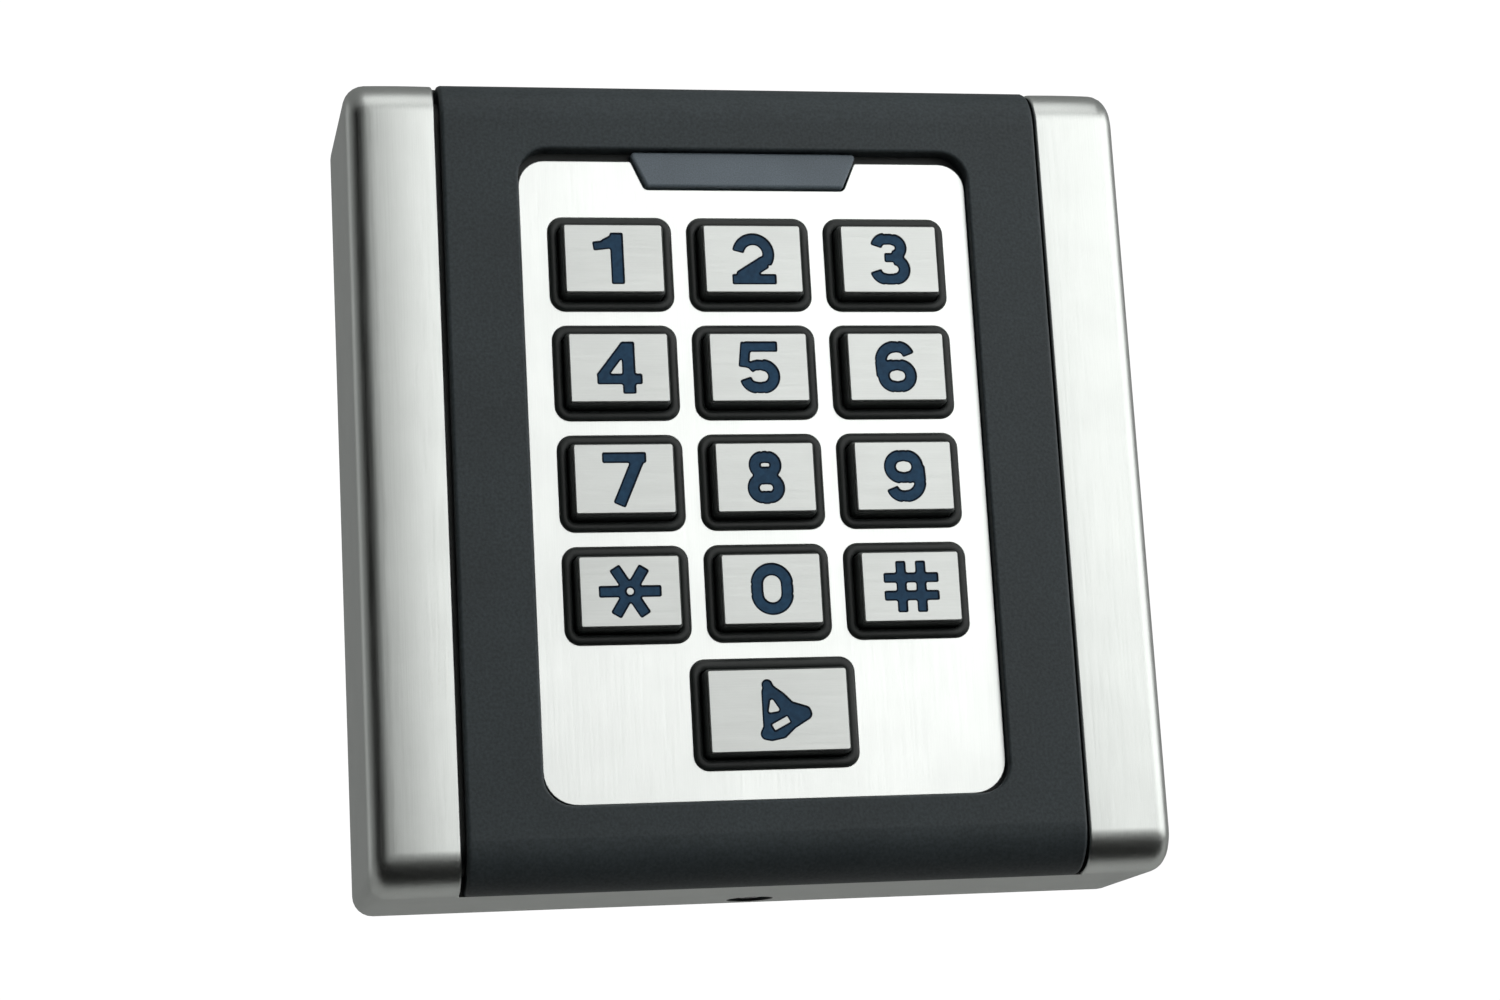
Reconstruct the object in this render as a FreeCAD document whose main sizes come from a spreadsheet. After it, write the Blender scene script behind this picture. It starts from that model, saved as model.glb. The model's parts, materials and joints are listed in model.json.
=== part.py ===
import FreeCAD, Part
import math
import operator
import os

import Sketcher

# Keypad access reader for a wall: a die-cast housing with a black centre frame, a satin key plate,
# twelve keys in a grid and a bell key, on a wall plate held by one security screw.
# +Z is up, the front faces -Y, and the origin is the centre of the wall plate's back face.
# A "depth" is a distance out of the wall, so a point at depth d has y = -d.

DRIVING_DIMENSIONS = {
    "body_width": 118.0,
    "body_height": 120.5,
    "wing_depth": 30.7,
    "housing_wall": 2.2,
    "wing_side_radius": 3.0,
    "wing_end_radius": 6.0,
    "frame_width": 90.6,
    "frame_depth": 31.9,
    "frame_thickness": 2.6,
    "frame_end_radius": 7.0,
    "frame_side_radius": 0.6,
    "frame_joint": 0.8,
    "plate_width": 68.1,
    "plate_height": 95.8,
    "plate_drop": 0.6,
    "plate_corner_radius": 4.2,
    "plate_thickness": 1.0,
    "pitch_across": 20.8,
    "pitch_down": 16.56,
    "grid_rise": 6.5,
    "bell_drop": 36.05,
    "opening_width": 18.4,
    "opening_height": 14.3,
    "bell_opening_width": 24.3,
    "bell_opening_height": 16.1,
    "opening_radius": 2.2,
    "cap_width": 14.5,
    "cap_height": 10.2,
    "bell_cap_width": 20.3,
    "bell_cap_height": 11.85,
    "cap_thickness": 0.8,
    "cap_depth": 33.5,
    "post_lip": 0.35,
    "post_gap": 0.25,
    "key_travel": 1.2,
    "legend_height": 7.4,
    "legend_stroke": 1.55,
    "window_top_width": 34.9,
    "window_bottom_width": 29.9,
    "window_height": 5.4,
    "window_rise": 1.3,
    "window_depth": 31.0,
    "wall_plate_thickness": 1.5,
    "box_screw_spacing": 60.3,
    "gang_screw_spacing": 83.3,
    "plate_screw_radius": 2.1,
    "cable_hole_radius": 9.0,
    "cable_hole_drop": 20.0,
    "cable_radius": 3.0,
    "security_screw_depth": 5.0,
    "board_thickness": 1.6,
    "board_depth": 25.7,
    "slack": 0.1,
}

OPERATORS = {"+": operator.add, "-": operator.sub, "*": operator.mul, "/": operator.truediv}


class Size:
    """A length that keeps its number and the sheet expression it is worked out from."""

    def __init__(self, number, text):
        self.number = number
        self.text = text

    def __add__(self, other):
        return combined(self, "+", other)

    def __sub__(self, other):
        return combined(self, "-", other)

    def __mul__(self, other):
        return combined(self, "*", other)

    def __truediv__(self, other):
        return combined(self, "/", other)

    def __neg__(self):
        return combined(Size(0.0, "0"), "-", self)


def plain(number):
    return Size(float(number), "%.6g" % number)


def as_size(value):
    return value if isinstance(value, Size) else plain(value)


def combined(left, sign, right):
    left = as_size(left)
    right = as_size(right)
    number = OPERATORS[sign](left.number, right.number)
    return Size(number, "(%s %s %s)" % (left.text, sign, right.text))


def bind(thing, field, size):
    """Gives one field of an object its number, and the sheet expression that drives it."""
    thing.setExpression(field, as_size(size).text)


doc = FreeCAD.newDocument("keypad_access_reader")
sheet = doc.addObject("Spreadsheet::Sheet", "Dimensions")
sizes = {}
for row, (alias, number) in enumerate(DRIVING_DIMENSIONS.items(), start=1):
    sheet.set("A%d" % row, alias)
    sheet.set("B%d" % row, str(number))
    sheet.setAlias("B%d" % row, alias)
    sizes[alias] = Size(number, "Dimensions." + alias)
doc.recompute()

subparts = {}


def keep(node, thing):
    """Registers an object as the sub-part that is written to the node's own file."""
    thing.Label = node
    subparts[node] = thing
    return thing


# ---------------------------------------------------------------- shape helpers


def origin_plane(body, role):
    return next(plane for plane in body.Origin.OriginFeatures if plane.Role == role)


def new_body(name):
    return doc.addObject("PartDesign::Body", name)


def new_sketch(body, name, role, offset):
    """A sketch on one of the body's own origin planes, moved along the plane's normal."""
    sketch = body.newObject("Sketcher::SketchObject", name)
    sketch.AttachmentSupport = [(origin_plane(body, role), "")]
    sketch.MapMode = "FlatFace"
    bind(sketch, "AttachmentOffset.Base.z", offset)
    return sketch


class Constraints:
    """The constraints of one outline, added to its sketch in one go so that it is solved once."""

    def __init__(self, sketch):
        self.sketch = sketch
        self.first = sketch.ConstraintCount
        self.found = []
        self.texts = {}

    def add(self, *values):
        self.found.append(Sketcher.Constraint(*values))

    def add_size(self, size, *values):
        """A dimension that the sheet drives."""
        self.texts[self.first + len(self.found)] = size.text
        self.add(*values, size.number)

    def pin(self, line, axis, place):
        """Holds the start of a line at a distance from the sketch's origin, along X or Y."""
        place = as_size(place)
        if abs(place.number) < 1e-9:
            self.add("PointOnObject", line, 1, -2 if axis == "X" else -1)
        else:
            self.add_size(place, "Distance" + axis, -1, 1, line, 1)

    def apply(self):
        self.sketch.addConstraint(self.found)
        for index, text in self.texts.items():
            self.sketch.setExpression("Constraints[%d]" % index, text)


def square_outline(sketch, constraints, corners):
    """A closed outline of level and upright lines. Each corner is (x, y, radius), radius 0 for sharp.

    The first line, from corner 0 to corner 1, is level.
    """
    count = len(corners)
    points = [FreeCAD.Vector(as_size(x).number, as_size(y).number, 0) for x, y, _ in corners]
    radii = [as_size(radius) for _, _, radius in corners]
    lines = []
    for i in range(count):
        start, end = points[i], points[(i + 1) % count]
        along = (end - start).normalize()
        begin = start + along * radii[i].number
        finish = end - along * radii[(i + 1) % count].number
        lines.append(sketch.addGeometry(Part.LineSegment(begin, finish), False))
    for i in range(count):
        before, after = lines[i - 1], lines[i]
        if radii[i].number == 0:
            constraints.add("Coincident", before, 2, after, 1)
            continue
        into = (points[i] - points[i - 1]).normalize()
        out = (points[(i + 1) % count] - points[i]).normalize()
        centre = points[i] + (out - into) * radii[i].number
        start = points[i] - into * radii[i].number
        end = points[i] + out * radii[i].number
        middle = centre + ((start + end) * 0.5 - centre).normalize() * radii[i].number
        arc = sketch.addGeometry(Part.Arc(start, middle, end), False)
        first, last = (1, 2) if into.cross(out).z > 0 else (2, 1)
        constraints.add("Tangent", before, 2, arc, first)
        constraints.add("Tangent", arc, last, after, 1)
        constraints.add_size(radii[i], "Radius", arc)
    for i in range(count):
        level = i % 2 == 0
        constraints.add("Horizontal" if level else "Vertical", lines[i])
        x, y, _ = corners[i]
        constraints.pin(lines[i], "Y" if level else "X", y if level else x)


def rectangles(sketch, shapes):
    """Rectangles with rounded corners, each given as its centre (x, y), width, height and radius."""
    constraints = Constraints(sketch)
    for centre, width, height, radius in shapes:
        left = centre[0] - width / 2
        right = centre[0] + width / 2
        low = centre[1] - height / 2
        high = centre[1] + height / 2
        corners = [(left, low, radius), (right, low, radius), (right, high, radius), (left, high, radius)]
        square_outline(sketch, constraints, corners)
    constraints.apply()


def pad(body, sketch, name, length):
    """Pads a sketch along its plane's normal."""
    feature = body.newObject("PartDesign::Pad", name)
    feature.Profile = sketch
    bind(feature, "Length", length)
    sketch.Visibility = False
    body.Tip = feature
    return feature


def pocket(body, sketch, name, length, forward):
    """Cuts a sketch out of the body. Forward is along the plane's normal."""
    feature = body.newObject("PartDesign::Pocket", name)
    feature.Profile = sketch
    feature.Reversed = forward
    bind(feature, "Length", length)
    sketch.Visibility = False
    doc.recompute()
    before = feature.BaseFeature.Shape.Volume
    if feature.Shape.Volume >= before - 1e-6:
        raise RuntimeError(name + " cuts nothing")
    body.Tip = feature
    return feature


def front_slab(name, centre, width, height, radius, back, front):
    """A rounded rectangle seen from the front, padded from one depth to another."""
    body = new_body(name)
    sketch = new_sketch(body, name + "_outline", "XZ_Plane", back)
    rectangles(sketch, [(centre, width, height, radius)])
    pad(body, sketch, name + "_pad", front - back)
    return body


def side_slab(name, width, half_height, radius, back, front):
    """A side profile, rounded at its two front corners, padded across the reader."""
    body = new_body(name)
    sketch = new_sketch(body, name + "_profile", "YZ_Plane", -(width / 2))
    constraints = Constraints(sketch)
    corners = [(-front, -half_height, radius), (-back, -half_height, 0), (-back, half_height, 0)]
    corners.append((-front, half_height, radius))
    square_outline(sketch, constraints, corners)
    constraints.apply()
    pad(body, sketch, name + "_pad", width)
    return body


def round_side_edges(body, half_width, back, radius):
    """Rounds the outline of both side faces, all but the edge that lies at the back."""
    doc.recompute()
    base = body.Tip
    names = []
    for index, edge in enumerate(base.Shape.Edges, start=1):
        box = edge.BoundBox
        on_side = abs(abs(box.XMin) - half_width.number) < 1e-6 and box.XLength < 1e-6
        at_back = abs(box.YMax + back.number) < 1e-6 and box.YLength < 1e-6
        if on_side and not at_back:
            names.append("Edge%d" % index)
    fillet = body.newObject("PartDesign::Fillet", body.Name + "_side_rounding")
    fillet.Base = (base, names)
    bind(fillet, "Radius", radius)
    body.Tip = fillet


def place(thing, x, depth, z):
    bind(thing, "Placement.Base.x", x)
    bind(thing, "Placement.Base.y", -as_size(depth))
    bind(thing, "Placement.Base.z", z)


def block(name, centre, width, height, back, front):
    """A plain block: centre and size as seen from the front, and its two depths."""
    solid = doc.addObject("Part::Box", name)
    back, front = as_size(back), as_size(front)
    width, height = as_size(width), as_size(height)
    bind(solid, "Length", width)
    bind(solid, "Width", front - back)
    bind(solid, "Height", height)
    place(solid, as_size(centre[0]) - width / 2, front, as_size(centre[1]) - height / 2)
    return solid


def rod(name, centre, radius, back, front):
    """A cylinder along the depth."""
    solid = doc.addObject("Part::Cylinder", name)
    solid.Placement.Rotation = FreeCAD.Rotation(FreeCAD.Vector(1, 0, 0), 90)
    back, front = as_size(back), as_size(front)
    bind(solid, "Radius", radius)
    bind(solid, "Height", front - back)
    place(solid, as_size(centre[0]), back, as_size(centre[1]))
    return solid


def upright_rod(name, depth, radius, bottom, top):
    """A cylinder along Z on the centre plane."""
    solid = doc.addObject("Part::Cylinder", name)
    bind(solid, "Radius", radius)
    bind(solid, "Height", as_size(top) - as_size(bottom))
    place(solid, plain(0), depth, as_size(bottom))
    return solid


def fused(name, things):
    result = doc.addObject("Part::MultiFuse", name)
    result.Shapes = things
    return result


def group(name, things):
    """Separate solids that share one node."""
    result = doc.addObject("Part::Compound", name)
    result.Links = things
    return result


def cut(name, base, tools):
    result = doc.addObject("Part::Cut", name)
    result.Base = base
    result.Tool = tools[0] if len(tools) == 1 else fused(name + "_tools", tools)
    return result


def four_ways(x, z):
    """The four points at plus and minus x and z."""
    return [(as_size(x) * side, as_size(z) * end) for side in (-1, 1) for end in (-1, 1)]


# ---------------------------------------------------------------- layout

middle = (plain(0), plain(0))
half_body_height = sizes["body_height"] / 2
frame_floor = sizes["frame_depth"] - sizes["frame_thickness"]
channel_floor = frame_floor - sizes["slack"]
frame_end_depth = sizes["frame_depth"] - sizes["frame_end_radius"] - 0.5
plate_centre = (plain(0), -sizes["plate_drop"])
plate_depth = frame_floor + sizes["plate_thickness"]
plate_top = sizes["plate_height"] / 2 - sizes["plate_drop"]
plate_bottom = -(sizes["plate_height"] / 2) - sizes["plate_drop"]
front_wall_depth = channel_floor - 2.6
cover_depth = plain(11.0)
ledge_depth = cover_depth + 0.8
cover_screw_spots = four_ways(50.5, 51.8)
board_screw_spots = four_ways(43.0, 46.0)
peg_spots = four_ways(39.0, 38.0)
cable_spot = (plain(0), -sizes["cable_hole_drop"])
sensor_spot = (plain(-26), plain(-34))
window_top = plate_top + sizes["window_rise"]
window_low = window_top - sizes["window_height"]
stem_centre = (plain(0), window_low + 1.25)
sill_depth = channel_floor
mat_back = sill_depth - 1.5
board_front = sizes["board_depth"]
board_back = board_front - sizes["board_thickness"]
post_back = board_front + sizes["key_travel"] + 0.3
cap_back = sizes["cap_depth"] - sizes["cap_thickness"]
cavity_width = sizes["body_width"] - sizes["housing_wall"] * 2
cavity_height = sizes["body_height"] - sizes["housing_wall"] * 2

BELL_TILT = 24.0
KEY_ROWS = (("1", "2", "3"), ("4", "5", "6"), ("7", "8", "9"), ("star", "0", "hash"))
keys = {}
for row, names in enumerate(KEY_ROWS):
    for column, name in enumerate(names):
        across = sizes["pitch_across"] * (column - 1)
        up = sizes["grid_rise"] + sizes["pitch_down"] * (1.5 - row)
        keys[name] = {
            "centre": (across, up),
            "opening": (sizes["opening_width"], sizes["opening_height"]),
            "cap": (sizes["cap_width"], sizes["cap_height"]),
        }
keys["bell"] = {
    "centre": (plain(0), -sizes["bell_drop"]),
    "opening": (sizes["bell_opening_width"], sizes["bell_opening_height"]),
    "cap": (sizes["bell_cap_width"], sizes["bell_cap_height"]),
}


# ---------------------------------------------------------------- housing and front


def make_housing():
    """Die-cast shell, open at the back, with a channel down its middle for the centre frame."""
    shell = side_slab(
        "housing_shell",
        sizes["body_width"],
        half_body_height,
        sizes["wing_end_radius"],
        plain(0),
        sizes["wing_depth"],
    )
    round_side_edges(shell, sizes["body_width"] / 2, plain(0), sizes["wing_side_radius"])
    mouth = new_sketch(shell, "housing_mouth", "XZ_Plane", plain(0))
    rectangles(mouth, [(middle, cavity_width, cavity_height, plain(1.5))])
    pocket(shell, mouth, "housing_mouth_pocket", ledge_depth, True)
    hollow = new_sketch(shell, "housing_hollow", "XZ_Plane", plain(0))
    rectangles(hollow, [(middle, cavity_width - 4.4, cavity_height - 4.4, plain(1.5))])
    pocket(shell, hollow, "housing_hollow_pocket", front_wall_depth, True)

    core_height = half_body_height - sizes["frame_thickness"] - sizes["slack"]
    core_radius = sizes["frame_end_radius"] - sizes["frame_thickness"] - sizes["slack"]
    core = side_slab("channel_core", sizes["body_width"], core_height, core_radius, plain(0), channel_floor)
    channel_width = sizes["frame_width"] + sizes["frame_joint"] * 2
    channel_height = sizes["body_height"] + 2
    channel_back = frame_end_depth - sizes["slack"]
    channel_front = sizes["frame_depth"] + 5
    channel_space = block("channel_space", middle, channel_width, channel_height, channel_back, channel_front)
    channel = cut("channel", channel_space, [core])

    window_height = sizes["plate_height"] - 3.6
    sill = front_slab(
        "key_window", plate_centre, sizes["plate_width"] - 3.6, window_height, plain(3), plain(25), plain(31)
    )
    bosses = [
        rod("cover_boss", spot, plain(3.4), ledge_depth, front_wall_depth + 0.5) for spot in cover_screw_spots
    ]
    bosses += [rod("board_boss", spot, plain(3.2), board_front, front_wall_depth + 0.5) for spot in board_screw_spots]
    lugs = [
        block("hook_lug", (plain(side * 30), half_body_height - 4.0), plain(14), plain(4), plain(1.8), plain(4.2))
        for side in (-1, 1)
    ]
    solid = fused("housing_with_bosses", [shell] + bosses + lugs)
    pilots = [rod("cover_pilot", spot, plain(1.55), plain(5), plain(20)) for spot in cover_screw_spots]
    pilots += [rod("board_pilot", spot, plain(1.3), plain(20), plain(28.6)) for spot in board_screw_spots]
    pilots += [rod("peg_hole", spot, plain(1.6), plain(20), plain(40)) for spot in peg_spots]
    screw_hole = upright_rod(
        "security_hole", sizes["security_screw_depth"], plain(1.7), -half_body_height - 1, -half_body_height + 4
    )
    screw_recess = upright_rod(
        "security_recess", sizes["security_screw_depth"], plain(3.3), -half_body_height - 1, -half_body_height + 1.3
    )
    keep("housing", cut("housing", solid, [channel, sill, screw_hole, screw_recess] + pilots))


def make_centre_frame():
    """Black plastic frame that wraps over the top and bottom of the housing and rings the key plate."""
    outer = side_slab(
        "frame_wrap",
        sizes["frame_width"],
        half_body_height,
        sizes["frame_end_radius"],
        frame_end_depth,
        sizes["frame_depth"],
    )
    round_side_edges(outer, sizes["frame_width"] / 2, frame_end_depth, sizes["frame_side_radius"])
    inner_height = half_body_height - sizes["frame_thickness"]
    inner_radius = sizes["frame_end_radius"] - sizes["frame_thickness"]
    inner = side_slab("frame_inside", sizes["body_width"], inner_height, inner_radius, plain(20), frame_floor)
    opening_low = plate_bottom - 0.15
    opening_high = window_top + 0.15
    opening_centre = (plain(0), (opening_low + opening_high) / 2)
    opening = front_slab(
        "frame_opening",
        opening_centre,
        sizes["plate_width"] + 0.3,
        opening_high - opening_low,
        sizes["plate_corner_radius"] + 0.15,
        plain(20),
        plain(40),
    )
    ring = cut("frame_ring", outer, [inner, opening])
    pegs = [rod("frame_peg", spot, plain(1.5), front_wall_depth + 0.2, frame_floor + 0.5) for spot in peg_spots]
    keep("centre_frame", fused("centre_frame", [ring] + pegs))


def trapezoid(sketch, top, low, top_width, bottom_width):
    """The status window's outline, wider at the top."""
    corners = [(-(top_width / 2), top), (top_width / 2, top), (bottom_width / 2, low), (-(bottom_width / 2), low)]
    points = [FreeCAD.Vector(x.number, y.number, 0) for x, y in corners]
    constraints = Constraints(sketch)
    lines = []
    for i in range(4):
        lines.append(sketch.addGeometry(Part.LineSegment(points[i], points[(i + 1) % 4]), False))
    for i in range(4):
        constraints.add("Coincident", lines[i - 1], 2, lines[i], 1)
        constraints.pin(lines[i], "X", corners[i][0])
        constraints.pin(lines[i], "Y", corners[i][1])
    constraints.apply()


def make_key_plate():
    """Satin steel plate with an opening for each key and a notch for the status window."""
    body = new_body("key_plate")
    sketch = new_sketch(body, "key_plate_outline", "XZ_Plane", frame_floor)
    shapes = [(plate_centre, sizes["plate_width"], sizes["plate_height"], sizes["plate_corner_radius"])]
    shapes += [(key["centre"], *key["opening"], sizes["opening_radius"]) for key in keys.values()]
    rectangles(sketch, shapes)
    pad(body, sketch, "key_plate_pad", sizes["plate_thickness"])
    notch = new_sketch(body, "window_notch", "XZ_Plane", frame_floor - 1)
    joint = 0.15
    trapezoid(
        notch,
        window_top + 2,
        window_low - joint,
        sizes["window_top_width"] + 2 + joint * 2,
        sizes["window_bottom_width"] + joint * 2,
    )
    pocket(body, notch, "window_notch_pocket", plain(4), True)
    keep("key_plate", body)


def make_status_window():
    """Translucent window with a stem that takes light from the status lamps behind it."""
    body = new_body("window_face")
    sketch = new_sketch(body, "window_outline", "XZ_Plane", frame_floor)
    trapezoid(sketch, window_top, window_low, sizes["window_top_width"], sizes["window_bottom_width"])
    pad(body, sketch, "window_pad", sizes["window_depth"] - frame_floor)
    stem = block("window_stem", stem_centre, plain(24), plain(1.8), board_front + 0.8, frame_floor + 0.5)
    keep("status_window", fused("status_window", [body, stem]))


def make_keypad_mat():
    """Silicone mat: a sheet behind the key plate, a collar up through each opening, and a skirt."""
    body = new_body("keypad_mat")
    mat_low = plate_bottom + 2.2
    mat_high = window_low - 0.3
    mat_centre = (plain(0), (mat_low + mat_high) / 2)
    mat_width = sizes["plate_width"] - 4.4
    mat_height = mat_high - mat_low
    sheet_outline = new_sketch(body, "mat_outline", "XZ_Plane", board_front)
    rectangles(sheet_outline, [(mat_centre, mat_width, mat_height, plain(2))])
    pad(body, sheet_outline, "mat_sheet", sill_depth - board_front)
    under = new_sketch(body, "mat_hollow", "XZ_Plane", board_front)
    rectangles(under, [(mat_centre, mat_width - 3, mat_height - 3, plain(1))])
    pocket(body, under, "mat_hollow_pocket", mat_back - board_front, True)
    collars = new_sketch(body, "mat_collars", "XZ_Plane", mat_back)
    rim = sizes["opening_radius"] - 0.1
    shapes = [(key["centre"], key["opening"][0] - 0.2, key["opening"][1] - 0.2, rim) for key in keys.values()]
    rectangles(collars, shapes)
    pad(body, collars, "mat_collars_pad", plate_depth + 0.45 - mat_back)
    holes = new_sketch(body, "mat_holes", "XZ_Plane", mat_back - 0.5)
    clear = (sizes["post_lip"] + sizes["post_gap"]) * 2
    shapes = [(key["centre"], key["cap"][0] + clear, key["cap"][1] + clear, plain(0.9)) for key in keys.values()]
    rectangles(holes, shapes)
    pocket(body, holes, "mat_holes_pocket", plain(6), True)
    keep("keypad_mat", body)


# ---------------------------------------------------------------- legends


def bar(start, end, width):
    """A straight stroke with square ends."""
    start = FreeCAD.Vector(start[0], 0, start[1])
    end = FreeCAD.Vector(end[0], 0, end[1])
    along = (end - start).normalize()
    aside = FreeCAD.Vector(-along.z, 0, along.x) * (width / 2)
    corners = [start + aside, end + aside, end - aside, start - aside]
    return Part.Face(Part.makePolygon(corners + corners[:1]))


def bow(centre, radius, first, last, width):
    """A stroke along an arc, from one angle to another, counter-clockwise from +X."""
    axis = FreeCAD.Vector(0, -1, 0)
    middle = FreeCAD.Vector(centre[0], 0, centre[1])
    outer = Part.makeCircle(radius + width / 2, middle, axis)
    disc = Part.Face(Part.Wire(outer))
    if radius > width / 2:
        disc = disc.cut(Part.Face(Part.Wire(Part.makeCircle(radius - width / 2, middle, axis))))
    if last - first >= 360:
        return disc
    reach = (radius + width) * 2
    steps = max(2, math.ceil((last - first) / 60))
    rim = []
    for step in range(steps + 1):
        angle = math.radians(first + (last - first) * step / steps)
        rim.append(middle + FreeCAD.Vector(math.cos(angle), 0, math.sin(angle)) * reach)
    wedge = Part.Face(Part.makePolygon([middle] + rim + [middle]))
    return disc.common(wedge)


def joined(faces):
    return faces[0].fuse(faces[1:]).removeSplitter()


def legend_faces(name):
    """The strokes of one legend, about the middle of its key, in the plane of the key's face."""
    half = sizes["legend_height"].number / 2
    stroke = sizes["legend_stroke"].number
    top = half - stroke / 2
    bowl = (half + stroke / 2) / 2 - stroke / 2 + 0.15
    reach = 2.25
    if name == "1":
        return [bar((0.7, -half), (0.7, half), stroke), bar((-1.7, 1.7), (0.7, 2.7), stroke * 0.8)]
    if name == "2":
        end = math.radians(-40)
        hook = (1.9 * math.cos(end), top - 1.9 + 1.9 * math.sin(end))
        return [
            bow((0, top - 1.9), 1.9, -42, 175, stroke),
            bar((hook[0] + 0.35, hook[1] + 0.42), (-2.1, -top + 0.2), stroke),
            bar((-2.8, -top), (2.8, -top), stroke),
        ]
    if name == "3":
        return [
            bow((0, top - bowl), bowl, -90, 165, stroke),
            bow((0, bowl - top), bowl, -165, 90, stroke),
            bar((-0.8, 0), (0.4, 0), stroke * 0.8),
        ]
    if name == "4":
        return [
            bar((1.2, -half), (1.2, half), stroke),
            bar((-3.1, -1.5), (2.9, -1.5), stroke * 0.85),
            bar((-2.6, -1.3), (1.0, half - 0.5), stroke * 0.85),
        ]
    if name == "5":
        lower = bowl + 0.35
        return [
            bow((0, lower - top), lower, -160, 140, stroke),
            bar((-1.9, 0.2), (-1.4, half), stroke * 0.9),
            bar((-1.6, top), (2.4, top), stroke),
        ]
    if name in ("6", "9"):
        turn = 1 if name == "6" else -1
        lower = bowl + 0.3
        arcs = [
            bow((0, turn * (lower - top)), lower, 0, 360, stroke),
            bow((0, turn * (top - reach)), reach, 20 if turn > 0 else 180, 180 if turn > 0 else 340, stroke),
        ]
        return arcs + [bar((-turn * reach, turn * (top - reach)), (-turn * reach, turn * (lower - top)), stroke)]
    if name == "7":
        return [bar((-2.6, top), (2.7, top), stroke), bar((-0.8, -half), (1.9, top + 0.1), stroke * 1.1)]
    if name == "8":
        return [bow((0, top - bowl), bowl, 0, 360, stroke), bow((0, bowl - top), bowl + 0.12, 0, 360, stroke)]
    if name == "0":
        side = 1.95
        return [
            bow((0, top - side), side, 0, 180, stroke),
            bow((0, side - top), side, 180, 360, stroke),
            bar((-side, side - top), (-side, top - side), stroke),
            bar((side, side - top), (side, top - side), stroke),
        ]
    if name == "star":
        arms = [bow((0, 0), 1.0, 0, 360, stroke * 0.9)]
        for turn in range(6):
            angle = math.radians(60 * turn)
            tip = (3.6 * math.cos(angle), 3.6 * math.sin(angle))
            arms.append(bar((0.9 * math.cos(angle), 0.9 * math.sin(angle)), tip, stroke))
        return arms
    if name == "hash":
        bars = []
        for side in (-1.25, 1.25):
            bars.append(bar((side, -3.1), (side, 3.1), stroke * 0.85))
            bars.append(bar((-3.5, side), (3.5, side), stroke * 0.85))
        return bars
    raise ValueError(name)


def bell_face():
    """A hand bell, tilted, with two windows in it."""
    dome = bow((0, 0.9), 0.75, 0, 360, 1.5)
    skirt = Part.Face(
        Part.makePolygon([FreeCAD.Vector(x, 0, z) for x, z in ((-1.5, 1.2), (1.5, 1.2), (3.3, -2.4), (-3.3, -2.4), (-1.5, 1.2))])
    )
    knob = bow((0, 3.1), 0.35, 0, 360, 0.7)
    neck = bar((0, 1.5), (0, 3.1), 1.4)
    rim = bar((-3.6, -2.5), (3.6, -2.5), 1.2)
    outline = joined([dome, skirt, knob, neck, rim])
    windows = [bar((-1.4, -1.2), (1.4, -1.2), 0.8), bar((-0.5, 0.6), (0.3, 0.6), 0.9)]
    bell = outline.cut(windows)
    bell.rotate(FreeCAD.Vector(0, 0, 0), FreeCAD.Vector(0, 1, 0), -BELL_TILT)
    return bell


def make_key(name, key):
    """One key: a metal cap, the resin legend let into it, and the rubber post that carries both."""
    width, height = key["cap"]
    lip = sizes["post_lip"] * 2
    post = front_slab(
        "key_%s_post" % name, key["centre"], width + lip, height + lip, plain(0.6), post_back, cap_back
    )
    keep("key_%s_post" % name, post)

    glyph = doc.addObject("Part::Feature", "legend_outline_" + name)
    glyph.Shape = bell_face() if name == "bell" else joined(legend_faces(name))
    place(glyph, key["centre"][0], cap_back, key["centre"][1])
    inlay = doc.addObject("Part::Extrusion", "legend_" + name)
    inlay.Base = glyph
    inlay.DirMode = "Custom"
    inlay.Dir = FreeCAD.Vector(0, -1, 0)
    inlay.Solid = True
    bind(inlay, "LengthFwd", sizes["cap_thickness"] - 0.05)
    keep("key_%s_legend" % name, inlay)

    tool = doc.addObject("Part::Extrusion", "legend_cut_" + name)
    tool.Base = glyph
    tool.DirMode = "Custom"
    tool.Dir = FreeCAD.Vector(0, -1, 0)
    tool.Solid = True
    bind(tool, "LengthFwd", sizes["cap_thickness"] + 1)
    blank = front_slab("cap_blank_" + name, key["centre"], width, height, plain(0.3), cap_back, sizes["cap_depth"])
    keep("key_%s_cap" % name, cut("key_%s_cap" % name, blank, [tool]))


# ---------------------------------------------------------------- electronics


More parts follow.
